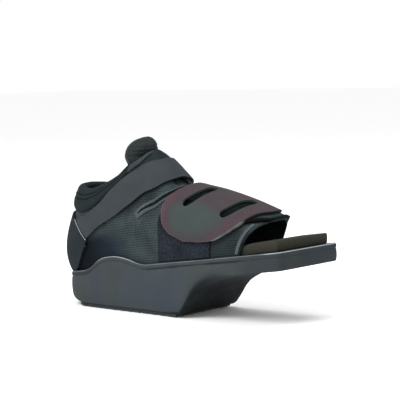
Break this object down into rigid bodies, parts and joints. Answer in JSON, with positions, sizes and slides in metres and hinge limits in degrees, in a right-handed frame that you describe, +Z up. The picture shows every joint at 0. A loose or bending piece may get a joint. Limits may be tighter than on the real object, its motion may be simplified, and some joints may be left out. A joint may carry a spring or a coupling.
{
  "type": "post operative shoe",
  "caption": "Wedge post operative shoe that rests on its heel block and frees the forefoot, with an open toe, padded collar and broad hook and loop straps.",
  "frame": {"origin": "middle of the tread on the floor, under the arch side of the heel block", "axes": "+X towards the toe, +Y towards the inner side of the foot, +Z up from the floor"},
  "size_m": [0.3, 0.095, 0.1696],
  "materials": {
    "tread_rubber": "matte",
    "sole_foam": "matte",
    "footbed_foam": "matte",
    "upper_mesh": "matte",
    "padded_cloth": "matte",
    "flap_cloth": "matte",
    "loop_cloth": "matte",
    "strap_cloth": "matte",
    "ankle_cloth": "matte",
    "binding_tape": "matte"
  },
  "bodies": {
    "root": {"outsole": "tread_rubber", "midsole": "sole_foam", "insole": "footbed_foam", "upper": "upper_mesh", "collar_pad": "padded_cloth", "tongue": "padded_cloth", "medial_flap": "flap_cloth", "loop_panel": "loop_cloth", "vamp_strap": "strap_cloth", "ankle_strap": "ankle_cloth", "heel_strap": "ankle_cloth", "slit_binding_lateral": "binding_tape", "slit_binding_medial": "binding_tape", "toe_binding_lateral": "binding_tape", "toe_binding_medial": "binding_tape"}
  },
  "joints": []
}
